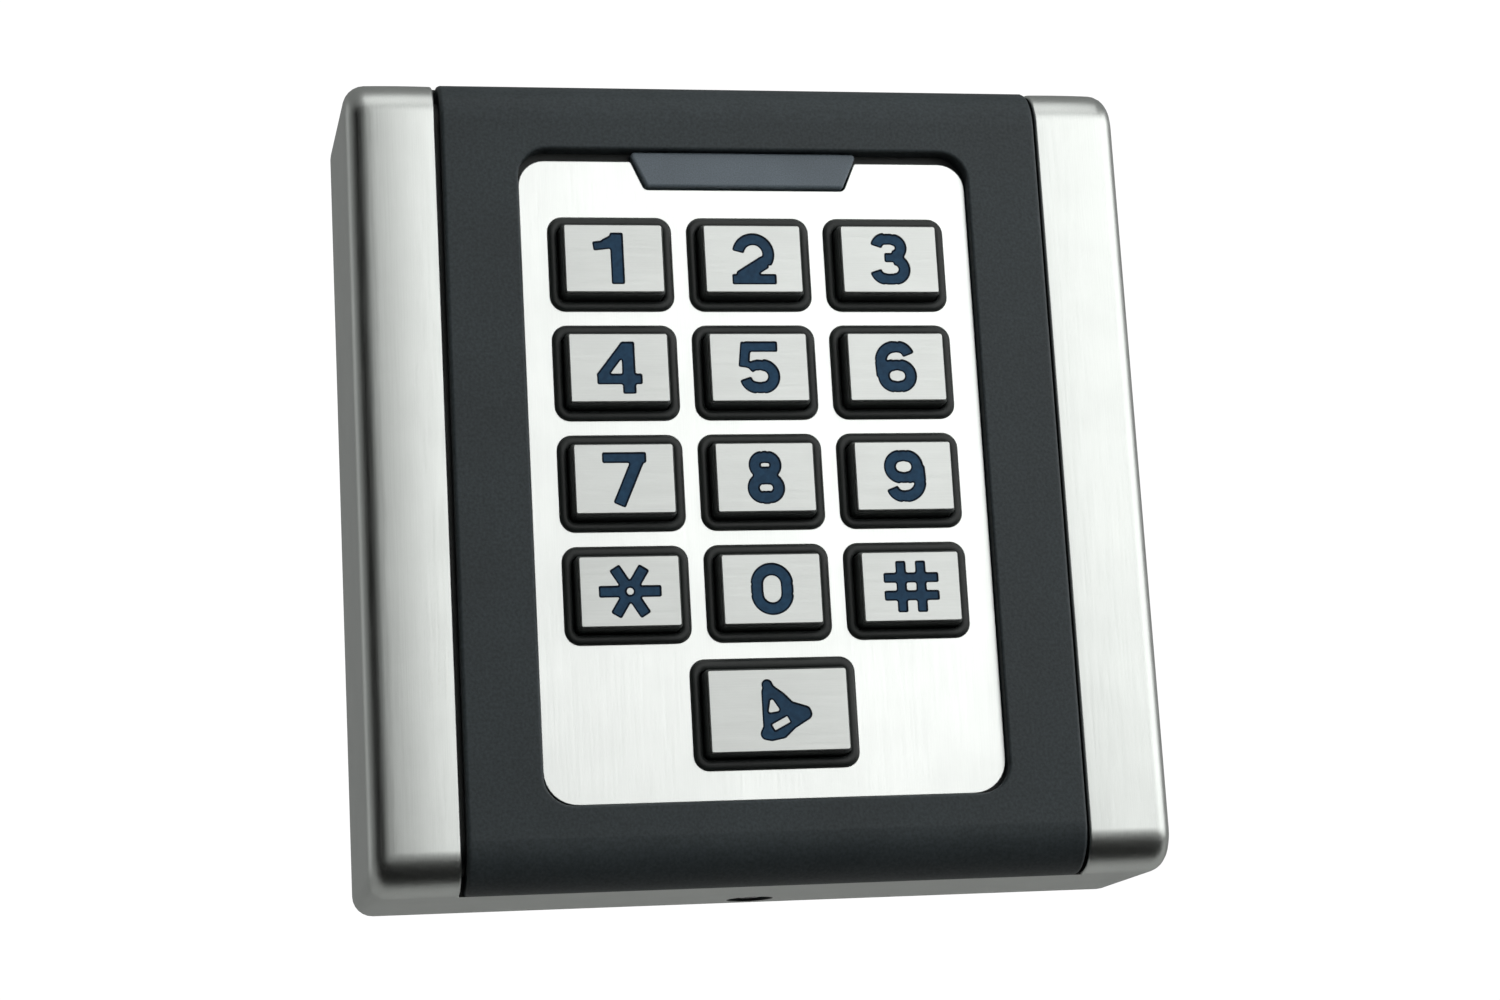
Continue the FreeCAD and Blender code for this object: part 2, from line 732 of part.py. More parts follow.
def make_electronics():
    board = block("board_blank", middle, plain(94), plain(100), board_back, board_front)
    holes = [rod("board_hole", spot, plain(1.45), plain(20), plain(30)) for spot in board_screw_spots]
    keep("main_board", cut("main_board", board, holes))

    lamps = []
    for key in keys.values():
        spot = (key["centre"][0], key["centre"][1] + 7.2)
        lamps.append(block("key_lamp", spot, plain(1.6), plain(0.8), board_front, board_front + 0.7))
    keep("key_leds", group("key_leds", lamps))
    status = [
        block("status_lamp", (plain(x), stem_centre[1]), plain(2), plain(1.25), board_front, board_front + 0.7)
        for x in (-8, 0, 8)
    ]
    keep("status_leds", group("status_leds", status))

    chip = block("controller_chip", (plain(-18), plain(22)), plain(12), plain(12), board_back - 1.6, board_back)
    keep("controller_chip", chip)
    keep("relay", block("relay", (plain(22), plain(-6)), plain(20), plain(10.2), board_back - 10.6, board_back))
    keep("buzzer", rod("buzzer", (plain(20), plain(24)), plain(6), board_back - 9, board_back))
    connector = block("wire_connector", (plain(2), plain(-37)), plain(25), plain(6), board_back - 8, board_back)
    keep("wire_connector", connector)

    coil = front_slab("coil_outside", middle, plain(79), plain(96), plain(6), board_back - 1.1, board_back)
    coil_hole = front_slab("coil_inside", middle, plain(71), plain(88), plain(3), plain(20), plain(28))
    keep("antenna_coil", cut("antenna_coil", coil, [coil_hole]))

    eye = rod("sensor_body", sensor_spot, plain(2.5), plain(9.6), plain(13.5))
    leads = [
        rod("sensor_lead", (sensor_spot[0] + side, sensor_spot[1]), plain(0.3), plain(13), board_back)
        for side in (-1.2, 1.2)
    ]
    keep("light_sensor", fused("light_sensor", [eye] + leads))


# ---------------------------------------------------------------- back and wall plate


def make_back():
    cover = front_slab(
        "cover_blank", middle, cavity_width - 0.6, cavity_height - 0.6, plain(1.3), plain(9), cover_depth
    )
    holes = [rod("cover_hole", spot, plain(1.7), plain(5), plain(15)) for spot in cover_screw_spots]
    holes.append(rod("gland_hole", cable_spot, plain(6), plain(5), plain(15)))
    holes.append(rod("sensor_hole", sensor_spot, plain(2.6), plain(5), plain(15)))
    keep("rear_cover", cut("rear_cover", cover, holes))

    seal_width = cavity_width - 0.8
    seal_height = cavity_height - 0.8
    seal = front_slab("seal_outside", middle, seal_width, seal_height, plain(1.2), cover_depth, ledge_depth)
    seal_hole = front_slab(
        "seal_inside", middle, seal_width - 3.6, seal_height - 3.6, plain(1.2), plain(10), plain(13)
    )
    seal_holes = [rod("seal_hole", spot, plain(3.2), plain(10), plain(13)) for spot in cover_screw_spots]
    keep("cover_gasket", cut("cover_gasket", seal, [seal_hole] + seal_holes))

    gland = fused(
        "gland_solid",
        [
            rod("gland_outer_flange", cable_spot, plain(8), plain(7.8), plain(9)),
            rod("gland_barrel", cable_spot, plain(5.95), plain(8.5), plain(11.5)),
            rod("gland_inner_flange", cable_spot, plain(7.2), cover_depth, cover_depth + 1.2),
        ],
    )
    gland_bore = rod("gland_bore", cable_spot, sizes["cable_radius"], plain(5), plain(15))
    keep("cable_gland", cut("cable_gland", gland, [gland_bore]))


def make_wall_plate():
    """Steel plate on the wall: screw holes for a wall box, a cable hole, two hooks and a screw tab."""
    thickness = sizes["wall_plate_thickness"]
    tab_low = -(cavity_height / 2) + 0.3
    plate_high = plain(54)
    centre = (plain(0), (tab_low + plate_high) / 2)
    sheet_metal = front_slab("wall_sheet", centre, plain(104), plate_high - tab_low, plain(3), plain(0), thickness)
    tab = block("screw_tab", (plain(0), tab_low + thickness / 2), plain(14), thickness, plain(0.5), plain(8.6))
    hooks = []
    for side in (-30, 30):
        arm_centre = (plain(side), plate_high - thickness / 2)
        hooks.append(block("hook_arm", arm_centre, plain(12), thickness, plain(0.5), plain(6.0)))
        hooks.append(block("hook_tip", (plain(side), plate_high + 0.9), plain(12), plain(2.2), plain(4.5), plain(6.0)))
    solid = fused("wall_plate_solid", [sheet_metal, tab] + hooks)
    box_half = sizes["box_screw_spacing"] / 2
    gang_half = sizes["gang_screw_spacing"] / 2
    screw_spots = [(box_half * side, plain(0)) for side in (-1, 1)]
    screw_spots += [(plain(0), gang_half * side) for side in (-1, 1)]
    holes = [rod("wall_screw_hole", spot, sizes["plate_screw_radius"], plain(-1), plain(3)) for spot in screw_spots]
    holes.append(rod("cable_hole", cable_spot, sizes["cable_hole_radius"], plain(-1), plain(3)))
    holes.append(
        upright_rod("tab_hole", sizes["security_screw_depth"], plain(1.55), tab_low - 1, tab_low + thickness + 1)
    )
    keep("wall_plate", cut("wall_plate", solid, holes))


def make_screws():
    head_low = -half_body_height + 0.3
    seat = -half_body_height + 1.3
    depth = sizes["security_screw_depth"]
    head = upright_rod("security_head", depth, plain(2.8), head_low, seat)
    shaft = upright_rod("security_shaft", depth, plain(1.5), seat - 0.2, seat + 5.2)
    keep("security_screw", fused("security_screw", [head, shaft]))

    cover_screws = []
    for index, spot in enumerate(cover_screw_spots):
        head = rod("cover_screw_head", spot, plain(2.8), plain(7.4), plain(9))
        shaft = rod("cover_screw_shaft", spot, plain(1.5), plain(8.8), plain(19))
        cover_screws.append(fused("cover_screw_%d" % index, [head, shaft]))
    keep("cover_screws", group("cover_screws", cover_screws))

    board_screws = []
    for index, spot in enumerate(board_screw_spots):
        head = rod("board_screw_head", spot, plain(2.4), board_back - 1.4, board_back)
        shaft = rod("board_screw_shaft", spot, plain(1.25), board_back - 0.2, plain(28.4))
        board_screws.append(fused("board_screw_%d" % index, [head, shaft]))
    keep("board_screws", group("board_screws", board_screws))


# ---------------------------------------------------------------- build, check and write

make_housing()
make_centre_frame()
make_key_plate()
make_status_window()
make_keypad_mat()
for key_name, key_layout in keys.items():
    make_key(key_name, key_layout)
make_electronics()
make_back()
make_wall_plate()
make_screws()
doc.recompute()

for thing in doc.Objects:
    if "Invalid" in thing.State or "Error" in thing.State:
        raise RuntimeError("%s (%s) failed: %s" % (thing.Name, thing.Label, thing.State))
os.makedirs("parts", exist_ok=True)
for node, thing in subparts.items():
    if thing.Shape.isNull() or not thing.Shape.isValid() or not thing.Shape.Solids:
        raise RuntimeError("the shape of %s isn't a valid solid" % node)
for node, thing in subparts.items():
    thing.Shape.exportStep("parts/%s.step" % node)
print("%d sub-parts" % len(subparts))
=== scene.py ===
import json
import math
from types import SimpleNamespace

import bmesh
import bpy
import numpy as np
from mathutils import Matrix, Vector
from mathutils.geometry import tessellate_polygon


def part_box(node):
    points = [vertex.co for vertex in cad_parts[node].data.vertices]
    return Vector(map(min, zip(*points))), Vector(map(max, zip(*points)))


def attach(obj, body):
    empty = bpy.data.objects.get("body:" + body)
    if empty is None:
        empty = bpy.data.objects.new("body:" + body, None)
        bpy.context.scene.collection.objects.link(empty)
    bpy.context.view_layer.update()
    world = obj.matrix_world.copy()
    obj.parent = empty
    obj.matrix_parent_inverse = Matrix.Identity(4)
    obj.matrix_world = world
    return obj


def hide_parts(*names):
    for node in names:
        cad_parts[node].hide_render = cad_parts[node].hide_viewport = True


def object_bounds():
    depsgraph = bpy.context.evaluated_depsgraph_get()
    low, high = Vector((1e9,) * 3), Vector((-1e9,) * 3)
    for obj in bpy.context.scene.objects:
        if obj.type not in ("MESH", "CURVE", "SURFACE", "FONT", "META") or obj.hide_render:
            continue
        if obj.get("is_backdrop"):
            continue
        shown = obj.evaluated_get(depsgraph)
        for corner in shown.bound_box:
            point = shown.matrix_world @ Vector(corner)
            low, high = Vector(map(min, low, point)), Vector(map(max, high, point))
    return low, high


# Visual model of the wall-mounted keypad reader. It is in metres, in the CAD model's frame: +Z is up,
# the keys face -Y, and a "depth" is a distance out of the wall, so a point at depth d has y = -d.

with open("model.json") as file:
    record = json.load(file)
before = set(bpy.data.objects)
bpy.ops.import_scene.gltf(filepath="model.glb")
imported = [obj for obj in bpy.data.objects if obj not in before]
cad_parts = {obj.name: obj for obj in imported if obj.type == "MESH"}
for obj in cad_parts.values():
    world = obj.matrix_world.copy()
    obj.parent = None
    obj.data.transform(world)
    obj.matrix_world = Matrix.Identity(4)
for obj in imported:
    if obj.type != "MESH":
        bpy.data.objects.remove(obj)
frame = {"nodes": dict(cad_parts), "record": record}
cad_low, cad_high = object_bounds()

MM = 0.001
READER = "reader"
FRAME_JOINT = 0.65 * MM
ARC_STEPS = 8
KEYS = ("1", "2", "3", "4", "5", "6", "7", "8", "9", "star", "0", "hash", "bell")


def extent(node):
    """A CAD node's sides as seen from the front, and the depths of its back and front."""
    low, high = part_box(node)
    box = SimpleNamespace(left=low[0], right=high[0], low=low[2], high=high[2])
    box.back, box.front = -high[1], -low[1]
    box.width = box.right - box.left
    box.height = box.high - box.low
    box.x = (box.left + box.right) / 2
    box.z = (box.low + box.high) / 2
    return box


# ---------------------------------------------------------------- outlines seen from the front


def outline(corners, grow=0.0, steps=ARC_STEPS):
    """Points round a polygon with rounded corners, counter-clockwise. Each corner is (x, z, radius).

    Every side is moved out by grow, and the corner radii change with it, so that outlines of
    different growth have matching points.
    """
    count = len(corners)
    points = []
    for i in range(count):
        here = Vector(corners[i][:2])
        into = (here - Vector(corners[i - 1][:2])).normalized()
        out = (Vector(corners[(i + 1) % count][:2]) - here).normalized()
        normal_in = Vector((into.y, -into.x))
        normal_out = Vector((out.y, -out.x))
        here = here + (normal_in + normal_out) * (grow / (1 + normal_in.dot(normal_out)))
        turn = math.atan2(into.cross(out), into.dot(out))
        side = 1 if turn > 0 else -1
        radius = max(corners[i][2] + side * grow, 0.01 * MM)
        start = here - into * (radius * math.tan(abs(turn) / 2))
        centre = start - normal_in * (side * radius)
        spoke = start - centre
        for step in range(steps + 1):
            angle = turn * step / steps
            swung = Matrix.Rotation(angle, 2) @ spoke
            points.append(centre + swung)
    return points


def rectangle(box, radius, grow=0.0):
    """The corners of a box seen from the front, with one radius, moved out by grow."""
    left, right = box.left - grow, box.right + grow
    low, high = box.low - grow, box.high + grow
    return [(left, low, radius), (right, low, radius), (right, high, radius), (left, high, radius)]


def circle(x, z, radius, steps=48):
    angles = [2 * math.pi * i / steps for i in range(steps)]
    return [Vector((x + radius * math.cos(a), z + radius * math.sin(a))) for a in angles]


# ---------------------------------------------------------------- mesh building


class Shape:
    """A mesh built from loops of points at given depths."""

    def __init__(self):
        self.mesh = bmesh.new()
        self.material_index = 0

    def loop(self, points, depth):
        return [self.mesh.verts.new((p[0], -depth, p[1])) for p in points]

    def face(self, verts, smooth=True):
        face = self.mesh.faces.new(verts)
        face.material_index = self.material_index
        face.smooth = smooth

    def wall(self, first, second):
        """Quads between two matching loops."""
        count = len(first)
        for i in range(count):
            j = (i + 1) % count
            self.face((first[i], first[j], second[j], second[i]))

    def fill(self, loops):
        """A flat region inside the first loop and outside the others."""
        verts = [vert for loop in loops for vert in loop]
        in_millimetres = [[vert.co / MM for vert in loop] for loop in loops]
        for a, b, c in tessellate_polygon(in_millimetres):
            self.face((verts[a], verts[b], verts[c]), smooth=False)

    def swept(self, corners, section):
        """Walls along a section. Each of its points is (grow, depth)."""
        loops = [self.loop(corners(grow), depth) for grow, depth in section]
        for first, second in zip(loops, loops[1:]):
            self.wall(first, second)
        return loops[0], loops[-1]

    def finish(self, name, materials, body=READER, large_faces=False):
        """Makes the object, with crisp edges kept crisp, and lets it ride on its body.

        large_faces keeps long smooth faces flat where they run into a rounding.
        """
        bmesh.ops.remove_doubles(self.mesh, verts=self.mesh.verts, dist=0.002 * MM)
        bmesh.ops.recalc_face_normals(self.mesh, faces=self.mesh.faces)
        for edge in self.mesh.edges:
            edge.smooth = edge.calc_face_angle(math.pi) < math.radians(32)
        data = bpy.data.meshes.new(name)
        self.mesh.to_mesh(data)
        self.mesh.free()
        piece = bpy.data.objects.new(name, data)
        bpy.context.scene.collection.objects.link(piece)
        for material in materials:
            data.materials.append(material)
        if large_faces:
            weighted = piece.modifiers.new("flat_faces", "WEIGHTED_NORMAL")
            weighted.keep_sharp = True
        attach(piece, body)
        return piece


def rounded_edge(front, radius, side, steps=5):
    """A quarter round from a wall on to a front face, as (grow, depth) points.

    side is -1 where the wall is the outside of the piece, and 1 where it is the inside of a hole.
    """
    section = []
    for step in range(steps + 1):
        angle = math.pi / 2 * step / steps
        section.append((side * radius * (1 - math.cos(angle)), front - radius + radius * math.sin(angle)))
    return section


def slab(shape, outer, holes, back, front, radius, hole_radius=None):
    """A plate with rounded front edges. outer and each hole give a loop of points for a growth."""
    outer_back, outer_front = shape.swept(outer, [(0.0, back)] + rounded_edge(front, radius, -1))
    hole_edge = [(0.0, back)] + rounded_edge(front, hole_radius or radius, 1)
    ends = [shape.swept(hole, hole_edge) for hole in holes]
    shape.fill([outer_front] + [hole_front for _, hole_front in ends])
    shape.fill([outer_back] + [hole_back for hole_back, _ in ends])


def outline_of(corners):
    return lambda grow: outline(corners, grow)


# ---------------------------------------------------------------- materials


class Finish:
    """A Principled material with the procedural detail added by its methods."""

    def __init__(self, name, colour, roughness, **settings):
        self.name = name
        self.material = bpy.data.materials.new(name)
        self.material.use_nodes = True
        self.nodes = self.material.node_tree.nodes
        self.links = self.material.node_tree.links
        self.shader = self.nodes["Principled BSDF"]
        self.place = self.nodes.new("ShaderNodeTexCoord").outputs["Object"]
        self.colour = colour
        self.roughness = roughness
        self.shader.inputs["Base Color"].default_value = (*colour, 1.0)
        self.shader.inputs["Roughness"].default_value = roughness
        for socket, value in settings.items():
            self.shader.inputs[socket.replace("_", " ")].default_value = value

    def noise(self, size, stretch=(1, 1, 1), detail=3.0, roughness=0.5):
        """Noise with features of about that size in metres, longer where stretch is larger."""
        scale = self.nodes.new("ShaderNodeMapping")
        scale.inputs["Scale"].default_value = [1 / (size * s) for s in stretch]
        texture = self.nodes.new("ShaderNodeTexNoise")
        texture.inputs["Scale"].default_value = 1.0
        texture.inputs["Detail"].default_value = detail
        texture.inputs["Roughness"].default_value = roughness
        self.links.new(self.place, scale.inputs["Vector"])
        self.links.new(scale.outputs["Vector"], texture.inputs["Vector"])
        return texture.outputs["Fac"]

    def remap(self, value, low, high, start=0.3, end=0.7):
        """A value from start to end becomes one from low to high."""
        node = self.nodes.new("ShaderNodeMapRange")
        for socket, number in (("From Min", start), ("From Max", end), ("To Min", low), ("To Max", high)):
            node.inputs[socket].default_value = number
        self.links.new(value, node.inputs["Value"])
        return node.outputs["Result"]

    def tint(self, value, low, high, start=0.3, end=0.7):
        """The colour is multiplied by a factor that goes from low to high."""
        factor = self.remap(value, low, high, start, end)
        source = self.shader.inputs["Base Color"]
        mix = self.nodes.new("ShaderNodeVectorMath")
        mix.operation = "MULTIPLY"
        if source.is_linked:
            self.links.new(source.links[0].from_socket, mix.inputs[0])
        else:
            mix.inputs[0].default_value = self.colour
        self.links.new(factor, mix.inputs[1])
        self.links.new(mix.outputs["Vector"], source)

    def vary_roughness(self, value, spread):
        """The roughness goes up and down by spread."""
        rough = self.remap(value, self.roughness - spread, self.roughness + spread)
        self.links.new(rough, self.shader.inputs["Roughness"])

    def bump(self, value, height, strength=1.0):
        """Relief of that height in metres."""
        node = self.nodes.new("ShaderNodeBump")
        node.inputs["Distance"].default_value = height
        node.inputs["Strength"].default_value = strength
        previous = self.shader.inputs["Normal"]
        if previous.is_linked:
            self.links.new(previous.links[0].from_socket, node.inputs["Normal"])
        self.links.new(value, node.inputs["Height"])
        self.links.new(node.outputs["Normal"], previous)

    def specks(self, size, spacing, dark):
        """A few dark specks, far apart, with soft rims."""
        texture = self.nodes.new("ShaderNodeTexVoronoi")
        texture.inputs["Scale"].default_value = 1 / spacing
        self.links.new(self.place, texture.inputs["Vector"])
        reach = size / spacing
        self.tint(texture.outputs["Distance"], dark, 1.0, reach * 0.6, reach)


def brushed_metal(name, colour, roughness, direction, depth=1.0):
    """Satin metal brushed along one direction, with cloudy variation under the fine lines."""
    finish = Finish(name, colour, roughness, Metallic=1.0)
    stretch = [60 if axis == direction else 1 for axis in "XYZ"]
    lines = finish.noise(0.16 * MM, stretch, detail=2)
    clouds = finish.noise(9 * MM, detail=2)
    finish.tint(lines, 1 - 0.06 * depth, 1 + 0.03 * depth)
    finish.tint(clouds, 0.97, 1.02)
    finish.vary_roughness(lines, 0.05 * depth)
    finish.bump(lines, 0.004 * MM * depth, 0.5)
    return finish


def moulded(name, colour, roughness, grain, relief, **settings):
    """Moulded plastic or rubber with a fine grain and faint cloudiness."""
    finish = Finish(name, colour, roughness, **settings)
    fine = finish.noise(grain, detail=2)
    clouds = finish.noise(14 * MM, detail=3)
    finish.tint(clouds, 0.90, 1.12)
    finish.tint(fine, 0.82, 1.18)
    finish.vary_roughness(clouds, 0.05)
    finish.bump(fine, relief)
    return finish


def make_materials():
    """One material for each slot of the record, and a few for the visual model alone."""
    housing = brushed_metal("nickel_zinc", (0.70, 0.725, 0.70), 0.36, "Z")
    plate = brushed_metal("satin_steel", (0.86, 0.885, 0.86), 0.36, "Z", 0.6)
    plate.specks(0.22 * MM, 17 * MM, 0.35)
    cap = brushed_metal("cap_steel", (0.63, 0.65, 0.63), 0.40, "X", 0.8)
    frame_finish = moulded(
        "black_plastic", (0.054, 0.066, 0.071), 0.50, 0.45 * MM, 0.02 * MM, Specular_IOR_Level=0.22
    )
    silicone = moulded(
        "black_silicone", (0.019, 0.023, 0.0215), 0.46, 0.18 * MM, 0.006 * MM, Specular_IOR_Level=0.45
    )
    # A lighter copy of the black silicone for the key posts: painted light on their sides, which face down
    # into shade.
    key_rubber = moulded(
        "key_rubber", (0.048, 0.055, 0.053), 0.50, 0.18 * MM, 0.006 * MM, Specular_IOR_Level=0.40
    )
    resin = moulded(
        "legend_resin", (0.020, 0.072, 0.145), 0.42, 0.9 * MM, 0.004 * MM, Specular_IOR_Level=0.16
    )
    # A darker resin for the band round each legend's face: painted shade along the cut's edge.
    resin_painted_shade = moulded(
        "legend_edge_painted_shade", (0.004, 0.014, 0.032), 0.50, 0.9 * MM, 0.004 * MM, Specular_IOR_Level=0.10
    )
    window = moulded(
        "smoked_plastic", (0.18, 0.22, 0.255), 0.36, 0.2 * MM, 0.004 * MM, Specular_IOR_Level=0.25
    )
    board = moulded("circuit_board", (0.012, 0.11, 0.035), 0.34, 1.2 * MM, 0.01 * MM)
    lamp = moulded("lamp", (0.80, 0.80, 0.74), 0.25, 0.5 * MM, 0.002 * MM)
    chip = moulded("chip_plastic", (0.02, 0.02, 0.021), 0.55, 0.15 * MM, 0.006 * MM)
    relay = moulded("relay_plastic", (0.02, 0.05, 0.22), 0.35, 0.4 * MM, 0.004 * MM)
    connector = moulded("connector_plastic", (0.72, 0.70, 0.62), 0.45, 0.3 * MM, 0.006 * MM)
    cover = moulded("cover_plastic", (0.028, 0.029, 0.030), 0.55, 0.35 * MM, 0.015 * MM)
    copper = brushed_metal("copper_wire", (0.72, 0.30, 0.12), 0.35, "Z")
    zinc = brushed_metal("zinc_steel", (0.60, 0.62, 0.64), 0.38, "X", 0.8)
    screw = brushed_metal("screw_steel", (0.74, 0.74, 0.75), 0.28, "X", 0.6)
    finishes = (housing, plate, cap, frame_finish, silicone, key_rubber, resin, resin_painted_shade, window, board)
    finishes += (lamp, chip, relay, connector, cover, copper, zinc, screw)
    return {finish.name: finish.material for finish in finishes}


# ---------------------------------------------------------------- legends

# The widths of a legend's usual strokes and of its level ones, and the radius that softens its corners,
# in millimetres, and how much the whole legend is enlarged.
STROKE = 1.72
LEVEL = 1.5
SOFTENING = 0.26
LEGEND_SCALE = 1.06


def straight(start, end, width):
    """Distance to a straight stroke with square ends, in millimetres."""
    start, end = np.array(start), np.array(end)
    along = (end - start) / np.linalg.norm(end - start)
    middle, half_length = (start + end) / 2, np.linalg.norm(end - start) / 2

    def distance(points, rounding):
        off = points - middle
        a = np.abs(off @ along) - (half_length - rounding)
        b = np.abs(off @ np.array([-along[1], along[0]])) - (width / 2 - rounding)
        outside = np.hypot(np.maximum(a, 0), np.maximum(b, 0))
        return outside + np.minimum(np.maximum(a, b), 0) - rounding

    return distance


def bowed(centre, radius, first, last, width):
    """Distance to a stroke along an arc, from one angle to another, in degrees counter-clockwise."""
    centre = np.array(centre)
    middle, half_sweep = math.radians((first + last) / 2), math.radians((last - first) / 2)

    def distance(points, rounding):
        off = points - centre
        reach = np.hypot(off[..., 0], off[..., 1])
        angle = np.arctan2(off[..., 1], off[..., 0]) - middle
        angle = np.abs((angle + math.pi) % (2 * math.pi) - math.pi)
        half_width = width / 2 - rounding
        across = np.abs(reach - radius) - half_width
        if last - first >= 360:
            return across - rounding
        beyond = angle - (half_sweep - rounding / radius)
        past_end = reach * np.sin(np.clip(beyond, -math.pi / 2, math.pi / 2))
        end_along = np.clip(reach * np.cos(beyond), radius - half_width, radius + half_width)
        to_end = np.hypot(reach * np.cos(beyond) - end_along, reach * np.sin(beyond))
        return np.where(beyond > 0, to_end, np.maximum(across, past_end)) - rounding

    return distance


def loop_distance(points, corners):
    """Distance from each point to the nearest side of a closed loop."""
    nearest = np.full(points.shape[:-1], 1e9)
    for a, b in zip(corners, np.roll(corners, -1, axis=0)):
        side = b - a
        off = points - a
        along = np.clip((off @ side) / (side @ side), 0, 1)
        off = off - along[..., None] * side
        nearest = np.minimum(nearest, np.hypot(off[..., 0], off[..., 1]))
    return nearest


def solid(corners, grow):
    """Distance to a filled polygon grown by an amount, which rounds its corners."""
    corners = np.array(corners, float)

    def distance(points, rounding):
        inside = np.zeros(points.shape[:-1], bool)
        for a, b in zip(corners, np.roll(corners, -1, axis=0)):
            crosses = (a[1] > points[..., 1]) != (b[1] > points[..., 1])
            rise = b[1] - a[1] or 1e-9
            level = a[0] + (points[..., 1] - a[1]) / rise * (b[0] - a[0])
            inside ^= crosses & (points[..., 0] < level)
        nearest = loop_distance(points, corners)
        return np.where(inside, -nearest, nearest) - grow

    return distance


def bowl(z, half_flat, radius, first, last):
    """A wide bowl: two arcs of one radius joined by level strokes. Angles as for an arc."""
    strokes = []
    for side, low, high in ((1, -90, 90), (-1, 90, 270)):
        start, end = max(first, low), min(last, high)
        if end > start:
            strokes.append(bowed((side * half_flat, z), radius, start, end, STROKE))
    for level, angle in ((z + radius, 90), (z - radius, 270), (z - radius, -90)):
        if first < angle + 1 and last > angle - 1:
            strokes.append(straight((-half_flat - 0.1, level), (half_flat + 0.1, level), STROKE))
    return strokes


def legend_strokes(name):
    """The strokes of a legend and what is left out of them, in millimetres about the key's middle."""
    if name == "1":
        flag = [straight((-2.9, 1.75), (0.5, 2.15), 1.3), straight((-1.4, 2.1), (0.5, 3.05), 1.3)]
        return [straight((0.45, -3.7), (0.45, 3.7), 1.85)] + flag, []
    if name == "2":
        arc = bowed((0.05, 0.7), 2.15, -38, 172, STROKE)
        foot = straight((-3.1, -2.95), (3.2, -2.95), LEVEL)
        return [arc, straight((1.75, -0.4), (-2.0, -2.75), 2.0), foot], []
    if name == "3":
        top = [bowed((0.5, 1.68), 1.2, -90, 90, STROKE), bowed((-0.5, 1.68), 1.35, 90, 172, STROKE)]
        low = [bowed((0.65, -1.45), 1.42, -90, 90, STROKE), bowed((-0.65, -1.45), 1.42, 188, 270, STROKE)]
        joins = [straight((-0.6, 2.95), (0.6, 2.95), 1.6), straight((-0.75, -2.9), (0.75, -2.9), 1.6)]
        return top + low + joins + [straight((-0.75, 0.25), (0.8, 0.25), 1.35)], []
    if name == "4":
        stem = straight((1.3, -3.7), (1.3, 3.7), 1.85)
        slope = straight((-2.65, -1.4), (0.95, 3.2), 1.45)
        return [stem, straight((-3.15, -1.6), (3.15, -1.6), LEVEL), slope], []
    if name == "5":
        low = [bowed((0.4, -1.3), 1.62, -90, 90, STROKE), bowed((-0.4, -1.3), 1.62, 190, 270, STROKE)]
        top = [straight((-1.9, 2.95), (2.7, 2.95), LEVEL), straight((-2.2, 0.0), (-1.75, 3.6), 1.5)]
        joins = [straight((-0.5, -2.92), (0.5, -2.92), 1.6), bowed((-0.2, -1.3), 1.62, 85, 140, 1.5)]
        return low + top + joins + [straight((-0.4, 0.32), (0.5, 0.32), 1.5)], []
    if name in ("6", "9"):
        flip = 1 if name == "6" else -1
        turn = 0 if flip > 0 else 180
        arcs = [
            bowed((0.4 * flip, -1.3 * flip), 1.55, turn - 90, turn + 90, STROKE),
            bowed((-0.4 * flip, -1.3 * flip), 1.55, turn + 90, turn + 270, STROKE),
            bowed((-0.15 * flip, 0.8 * flip), 2.1, turn + 90, turn + 180, STROKE),
            bowed((0.25 * flip, 1.35 * flip), 1.55, turn + 12, turn + 90, STROKE),
        ]
        bars = [
            straight((-0.5, 0.25 * flip), (0.5, 0.25 * flip), 1.55),
            straight((-0.5, -2.87 * flip), (0.5, -2.87 * flip), 1.6),
            straight((-0.3 * flip, 2.9 * flip), (0.3 * flip, 2.9 * flip), 1.6),
            straight((-2.15 * flip, -1.4 * flip), (-2.25 * flip, 0.9 * flip), STROKE),
        ]
        return arcs + bars, []
    if name == "7":
        return [straight((-3.0, 2.95), (3.1, 2.95), LEVEL), straight((-0.9, -3.7), (2.1, 3.0), 1.8)], []
    if name == "8":
        return bowl(1.72, 0.3, 1.15, -90, 270) + bowl(-1.5, 0.42, 1.35, -90, 270), []
    if name == "0":
        sides = [straight((side, -0.7), (side, 0.7), STROKE) for side in (-2.1, 2.1)]
        return sides + [bowed((0, 0.65), 2.1, 0, 180, 1.75), bowed((0, -0.65), 2.1, 180, 360, 1.75)], []
    if name == "star":
        arms = [straight((-4.3, 0), (4.3, 0), 1.6)]
        for angle in (math.radians(58), math.radians(122)):
            reach = (3.9 * math.cos(angle), 3.9 * math.sin(angle))
            arms.append(straight((-reach[0], -reach[1]), reach, 1.65))
        return arms, [bowed((0, 0), 0.01, 0, 360, 0.95)]
    if name == "hash":
        bars = [straight((x, -3.6), (x, 3.6), 1.45) for x in (-1.4, 1.4)]
        return bars + [straight((-3.9, z), (3.9, z), 1.4) for z in (-1.25, 1.25)], []
    bell = [(-1.5, 2.5), (-1.2, 2.75), (0.25, 1.65), (1.45, 0.4), (3.6, -0.3), (3.7, -0.6), (1.6, -1.85)]
    bell += [(0.3, -3.05), (-1.2, -3.35), (-1.9, -3.2), (-1.5, -2.4)]
    knob = bowed((-1.5, 3.5), 0.01, 0, 360, 1.5)
    triangle = solid([(-1.2, -0.05), (-0.25, 0.1), (-0.95, 1.2)], 0.25)
    return [solid(bell, 0.85), knob], [triangle, straight((-0.9, -2.35), (1.25, -1.25), 0.9)]


